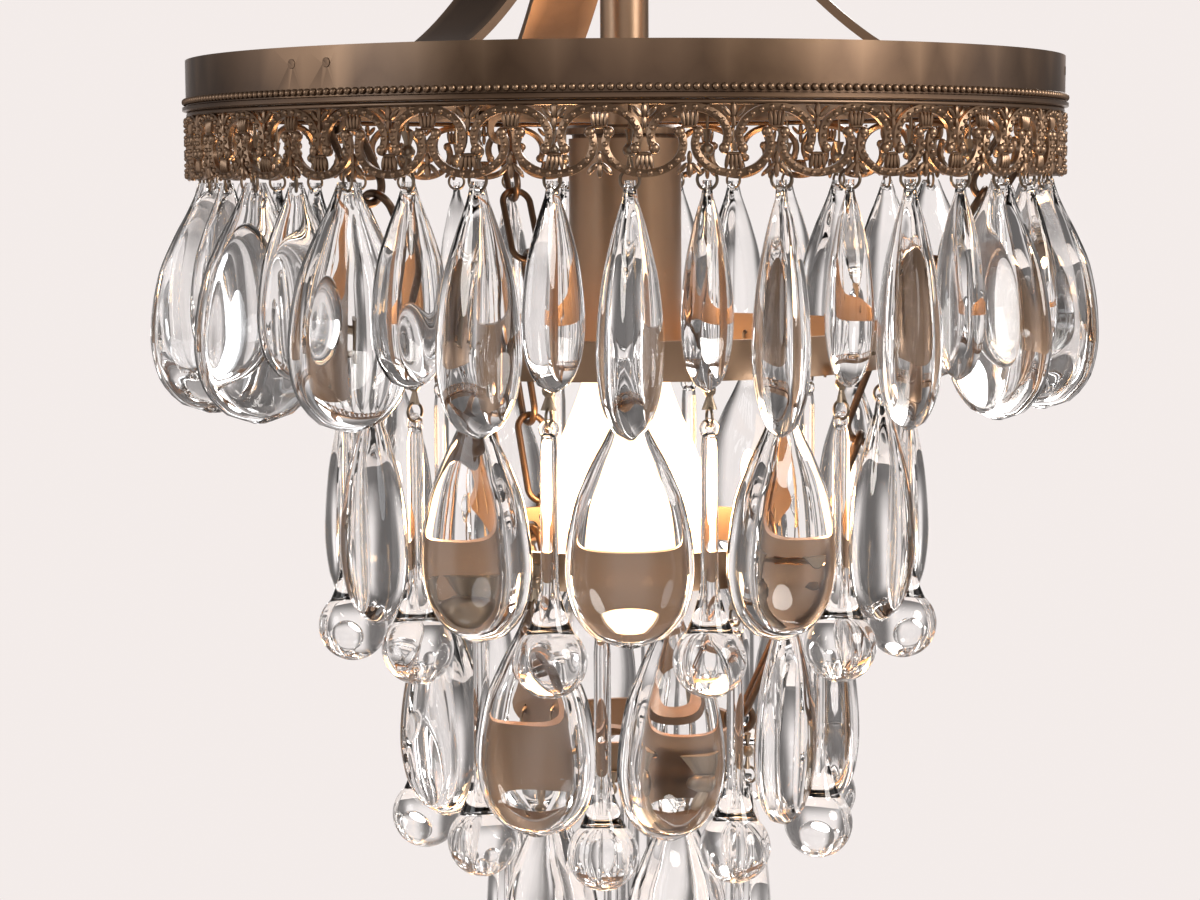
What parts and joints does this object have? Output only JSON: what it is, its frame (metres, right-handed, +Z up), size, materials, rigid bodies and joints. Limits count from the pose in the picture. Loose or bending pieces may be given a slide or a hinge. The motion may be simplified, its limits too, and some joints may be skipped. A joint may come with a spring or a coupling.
{
  "type": "tiered crystal chandelier",
  "caption": "Small tiered crystal chandelier: antique bronze rings with a pierced gallery, glass drops and ball rods on fan clips, one lamp inside, hung from a ceiling canopy.",
  "frame": {"origin": "middle of the ceiling bar's top face, on the ceiling plane", "axes": "+Z up into the ceiling, -Y towards the front"},
  "size_m": [0.3272, 0.3277, 0.572],
  "materials": {
    "bronze": "satin",
    "dark_brass": "satin",
    "clear_glass": "polished",
    "porcelain": "gloss",
    "screw_shell": "satin",
    "bulb_glass": "frosted",
    "steel": "brushed"
  },
  "bodies": {
    "ceiling": {"ceiling_bar": "steel", "ceiling_nipple": "steel", "bar_nut": "steel", "canopy": "bronze", "canopy_collar": "bronze"},
    "swivel": {"swivel_fork": "bronze", "swivel_pin": "steel"},
    "lamp_frame": {"stem_tip": "bronze", "stem": "bronze", "strap_hub": "bronze", "strap_right": "bronze", "strap_front_left": "bronze", "strap_back_left": "bronze", "strap_rivets": "bronze", "top_band": "bronze", "bead_trim": "bronze", "lace_gallery": "bronze", "chain_lugs": "bronze", "chains_upper": "bronze", "second_ring": "bronze", "chains_middle": "bronze", "third_ring": "bronze", "chains_lower": "bronze", "fourth_ring": "bronze", "finial_bar": "bronze", "lamp_cap": "bronze", "lamp_cup": "bronze", "clips_tier_1": "dark_brass", "clips_tier_2": "dark_brass", "clips_tier_3": "dark_brass", "clips_tier_4": "dark_brass", "clip_finial": "dark_brass", "tier_1_large_drops": "clear_glass", "tier_1_medium_drops": "clear_glass", "tier_2_rods": "clear_glass", "tier_3_pears": "clear_glass", "tier_3_rods": "clear_glass", "tier_4_pears": "clear_glass", "tier_4_rods": "clear_glass", "lamp_socket": "porcelain", "bulb_base": "screw_shell", "bulb_globe": "bulb_glass", "lamp_locknut": "steel"},
    "drop_01": {"tier_2_pear_01": "clear_glass"},
    "drop_02": {"tier_2_pear_02": "clear_glass"},
    "drop_03": {"tier_2_pear_03": "clear_glass"},
    "drop_04": {"tier_2_pear_04": "clear_glass"},
    "drop_05": {"tier_2_pear_05": "clear_glass"},
    "drop_06": {"tier_2_pear_06": "clear_glass"},
    "drop_07": {"tier_2_pear_07": "clear_glass"},
    "drop_08": {"tier_2_pear_08": "clear_glass"},
    "drop_09": {"tier_2_pear_09": "clear_glass"},
    "drop_10": {"tier_2_pear_10": "clear_glass"},
    "drop_11": {"tier_2_pear_11": "clear_glass"},
    "drop_12": {"tier_2_pear_12": "clear_glass"},
    "finial": {"finial_drop": "clear_glass"}
  },
  "joints": [
    {"name": "swivel_turn", "type": "hinge", "parent": "ceiling", "child": "swivel", "pos_m": [0, 0, -0.037], "axis": [0, 0, 1], "range_deg": [-170, 170]},
    {"name": "hang_straight_tilt", "type": "hinge", "parent": "swivel", "child": "lamp_frame", "pos_m": [0, 0, -0.05], "axis": [1, 0, 0], "range_deg": [-15, 15]},
    {"name": "drop_01_swing", "type": "hinge", "parent": "lamp_frame", "child": "drop_01", "pos_m": [0, -0.0975, -0.3397], "axis": [-1, 0, 0], "range_deg": [-3, 12]},
    {"name": "drop_02_swing", "type": "hinge", "parent": "lamp_frame", "child": "drop_02", "pos_m": [0.04875, -0.08444, -0.3397], "axis": [-0.866, -0.5, 0], "range_deg": [-3, 12]},
    {"name": "drop_03_swing", "type": "hinge", "parent": "lamp_frame", "child": "drop_03", "pos_m": [0.08444, -0.04875, -0.3397], "axis": [-0.5, -0.866, 0], "range_deg": [-3, 12]},
    {"name": "drop_04_swing", "type": "hinge", "parent": "lamp_frame", "child": "drop_04", "pos_m": [0.0975, 0, -0.3397], "axis": [0, -1, 0], "range_deg": [-3, 12]},
    {"name": "drop_05_swing", "type": "hinge", "parent": "lamp_frame", "child": "drop_05", "pos_m": [0.08444, 0.04875, -0.3397], "axis": [0.5, -0.866, 0], "range_deg": [-3, 12]},
    {"name": "drop_06_swing", "type": "hinge", "parent": "lamp_frame", "child": "drop_06", "pos_m": [0.04875, 0.08444, -0.3397], "axis": [0.866, -0.5, 0], "range_deg": [-3, 12]},
    {"name": "drop_07_swing", "type": "hinge", "parent": "lamp_frame", "child": "drop_07", "pos_m": [0, 0.0975, -0.3397], "axis": [1, 0, 0], "range_deg": [-3, 12]},
    {"name": "drop_08_swing", "type": "hinge", "parent": "lamp_frame", "child": "drop_08", "pos_m": [-0.04875, 0.08444, -0.3397], "axis": [0.866, 0.5, 0], "range_deg": [-3, 12]},
    {"name": "drop_09_swing", "type": "hinge", "parent": "lamp_frame", "child": "drop_09", "pos_m": [-0.08444, 0.04875, -0.3397], "axis": [0.5, 0.866, 0], "range_deg": [-3, 12]},
    {"name": "drop_10_swing", "type": "hinge", "parent": "lamp_frame", "child": "drop_10", "pos_m": [-0.0975, 0, -0.3397], "axis": [0, 1, 0], "range_deg": [-3, 12]},
    {"name": "drop_11_swing", "type": "hinge", "parent": "lamp_frame", "child": "drop_11", "pos_m": [-0.08444, -0.04875, -0.3397], "axis": [-0.5, 0.866, 0], "range_deg": [-3, 12]},
    {"name": "drop_12_swing", "type": "hinge", "parent": "lamp_frame", "child": "drop_12", "pos_m": [-0.04875, -0.08444, -0.3397], "axis": [-0.866, 0.5, 0], "range_deg": [-3, 12]},
    {"name": "finial_swing", "type": "hinge", "parent": "lamp_frame", "child": "finial", "pos_m": [0, 0, -0.4822], "axis": [0, 1, 0], "range_deg": [-12, 12]}
  ]
}
